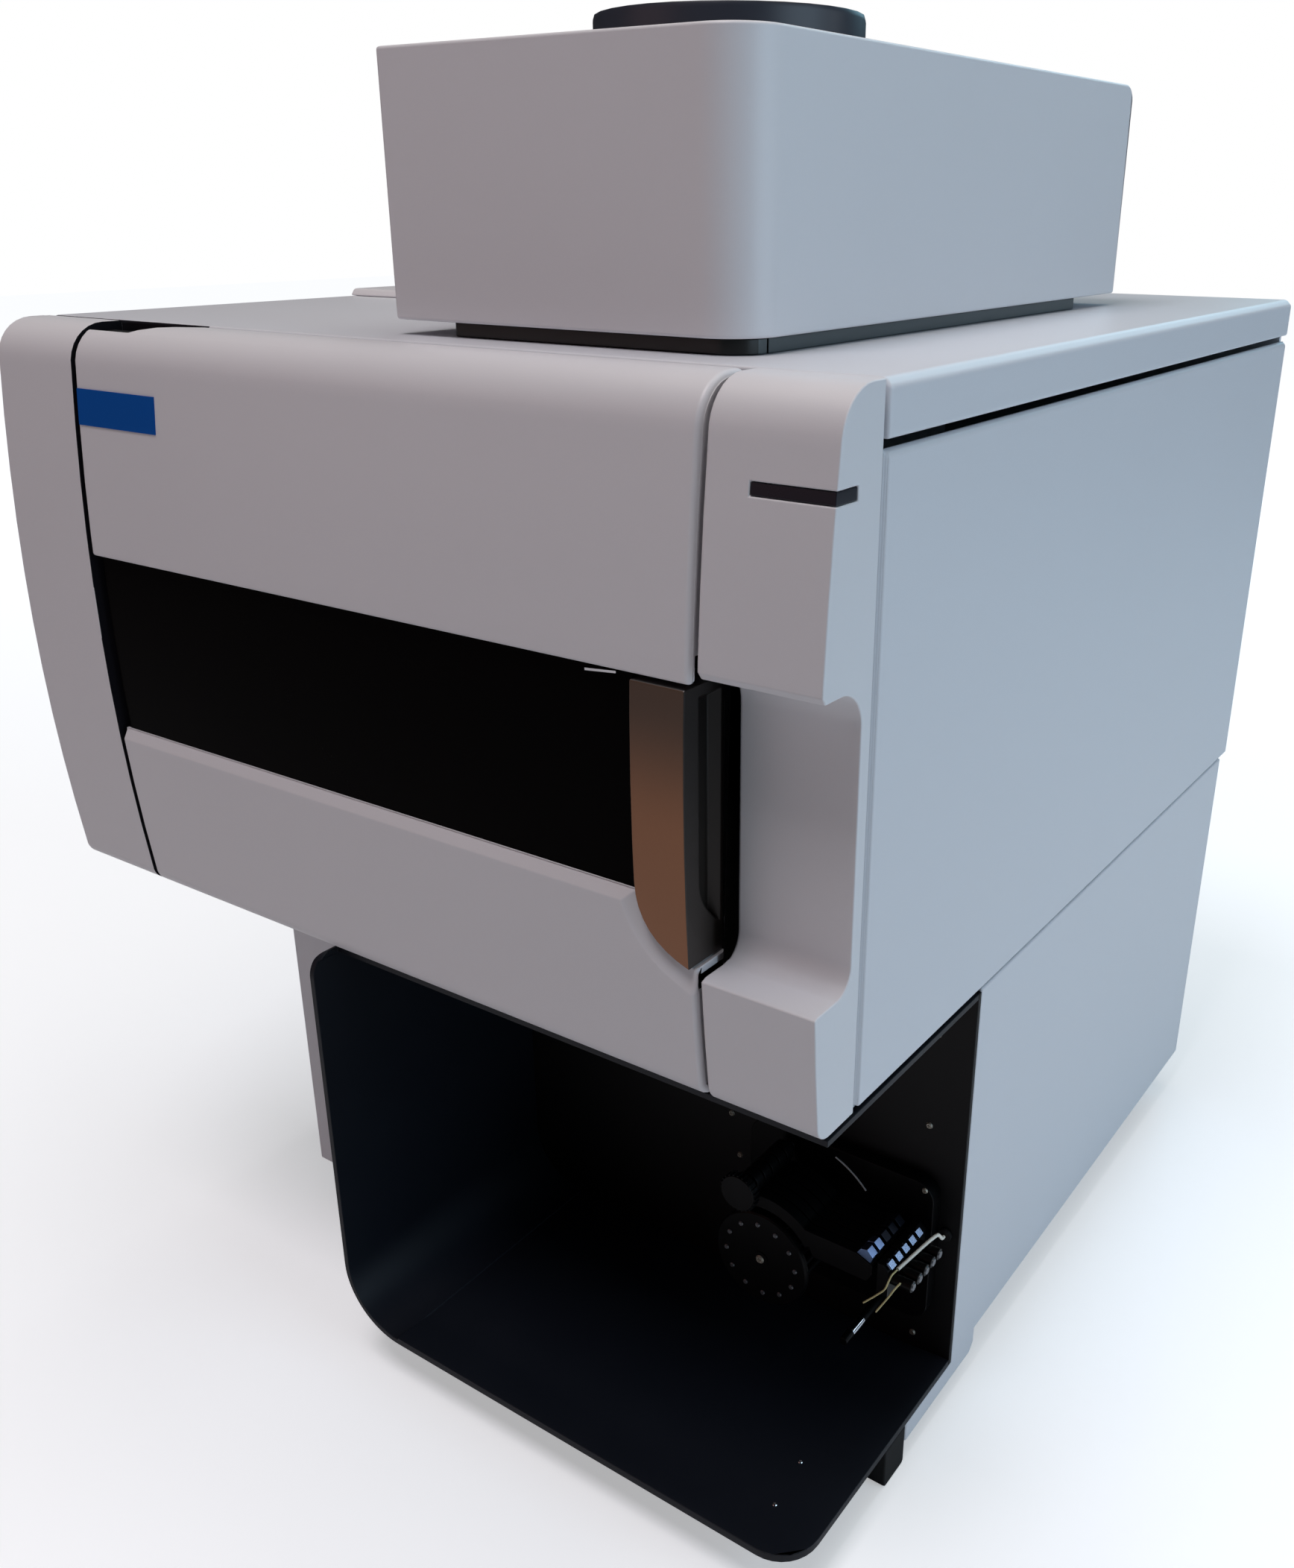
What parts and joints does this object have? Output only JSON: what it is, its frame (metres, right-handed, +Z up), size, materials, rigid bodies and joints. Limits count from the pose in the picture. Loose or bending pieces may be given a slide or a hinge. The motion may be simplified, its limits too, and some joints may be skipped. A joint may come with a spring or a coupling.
{
  "type": "inductively coupled plasma spectrometer",
  "caption": "Bench-top plasma emission spectrometer with a bowed windowed door, an open sample bay with a roller pump, and an exhaust box with a duct collar on top.",
  "frame": {"origin": "centre of the footprint, on the bench under the feet", "axes": "+X to the operator's right, +Y to the back of the instrument, +Z up"},
  "size_m": [0.625, 0.74, 0.8713],
  "materials": {
    "white_paint": "satin, fine grain",
    "black_satin": "satin black",
    "dark_window": "polished, nearly opaque",
    "bronze_trim": "satin bronze",
    "dark_grey": "fine texture",
    "bare_steel": "brushed",
    "zinc_steel": "dull zinc",
    "lamp_lens": "smooth",
    "quartz": "clear",
    "copper": "bright copper",
    "brass": "machined",
    "ceramic": "dull",
    "black_rubber": "moulded",
    "white_tube": "soft"
  },
  "bodies": {
    "base": {"left_front_column": "white_paint", "right_front_column": "white_paint", "status_lamp_lens": "lamp_lens", "top_cover": "white_paint", "rear_top_cap": "white_paint", "upper_side_panel_right": "white_paint", "upper_side_panel_left": "white_paint", "module_deck": "zinc_steel", "upper_rear_panel": "white_paint", "air_filter_frame": "dark_grey", "exhaust_housing": "white_paint", "exhaust_plinth": "dark_grey", "exhaust_collar": "dark_grey", "sample_bay_liner": "black_satin", "sample_bay_back_wall": "black_satin", "lower_side_panel_right": "white_paint", "lower_side_panel_left": "white_paint", "lower_front_panel": "white_paint", "lower_rear_panel": "white_paint", "base_pan": "zinc_steel", "frame_upright_left": "zinc_steel", "frame_upright_right": "zinc_steel", "foot_front_right": "black_rubber", "foot_front_left": "black_rubber", "foot_rear_right": "black_rubber", "foot_rear_left": "black_rubber", "mains_inlet": "black_rubber", "gas_and_water_ports": "brass", "hinge_arm_upper": "bare_steel", "hinge_arm_lower": "bare_steel", "torch_compartment": "zinc_steel", "plasma_torch": "quartz", "load_coil": "copper", "cone_interface": "bare_steel", "torch_loader": "ceramic", "spray_chamber": "quartz", "nebulizer": "quartz", "optics_enclosure": "bare_steel", "rf_generator": "zinc_steel", "power_supply": "zinc_steel", "pump_body": "black_satin", "pump_motor": "zinc_steel", "screw_rail": "black_satin", "tube_grommet": "black_rubber", "tube_sleeve": "white_tube", "capillary_long": "white_tube", "capillary_short": "white_tube"},
    "door": {"door_upper_cover": "white_paint", "door_lower_cover": "white_paint", "door_window": "dark_window", "door_frame": "black_satin", "door_handle": "bronze_trim"},
    "pump_head": {"pump_head": "black_satin"},
    "torch_lever": {"torch_lever": "bronze_trim"},
    "pump_clamp_1": {"pump_clamp_1": "black_satin"},
    "pump_clamp_2": {"pump_clamp_2": "black_satin"},
    "pump_clamp_3": {"pump_clamp_3": "black_satin"},
    "pump_clamp_4": {"pump_clamp_4": "black_satin"},
    "pump_clamp_5": {"pump_clamp_5": "black_satin"}
  },
  "joints": [
    {"name": "door_hinge", "type": "hinge", "parent": "base", "child": "door", "pos_m": [-0.2065, -0.358, 0.48], "axis": [0, 0, -1], "range_deg": [0, 90]},
    {"name": "pump_head_turn", "type": "hinge", "parent": "base", "child": "pump_head", "pos_m": [0.1995, -0.2, 0.117], "axis": [0, 1, 0], "continuous": true},
    {"name": "torch_lever_swing", "type": "hinge", "parent": "base", "child": "torch_lever", "pos_m": [0.0467, -0.2214, 0.4711], "axis": [-1, 0, 0], "range_deg": [0, 80]},
    {"name": "pump_clamp_1_swing", "type": "hinge", "parent": "base", "child": "pump_clamp_1", "pos_m": [0.1865, -0.2259, 0.171], "axis": [0, -1, 0], "range_deg": [0, 80]},
    {"name": "pump_clamp_2_swing", "type": "hinge", "parent": "base", "child": "pump_clamp_2", "pos_m": [0.1865, -0.2166, 0.171], "axis": [0, -1, 0], "range_deg": [0, 80]},
    {"name": "pump_clamp_3_swing", "type": "hinge", "parent": "base", "child": "pump_clamp_3", "pos_m": [0.1865, -0.2073, 0.171], "axis": [0, -1, 0], "range_deg": [0, 80]},
    {"name": "pump_clamp_4_swing", "type": "hinge", "parent": "base", "child": "pump_clamp_4", "pos_m": [0.1865, -0.198, 0.171], "axis": [0, -1, 0], "range_deg": [0, 80]},
    {"name": "pump_clamp_5_swing", "type": "hinge", "parent": "base", "child": "pump_clamp_5", "pos_m": [0.1865, -0.1887, 0.171], "axis": [0, -1, 0], "range_deg": [0, 80]}
  ]
}
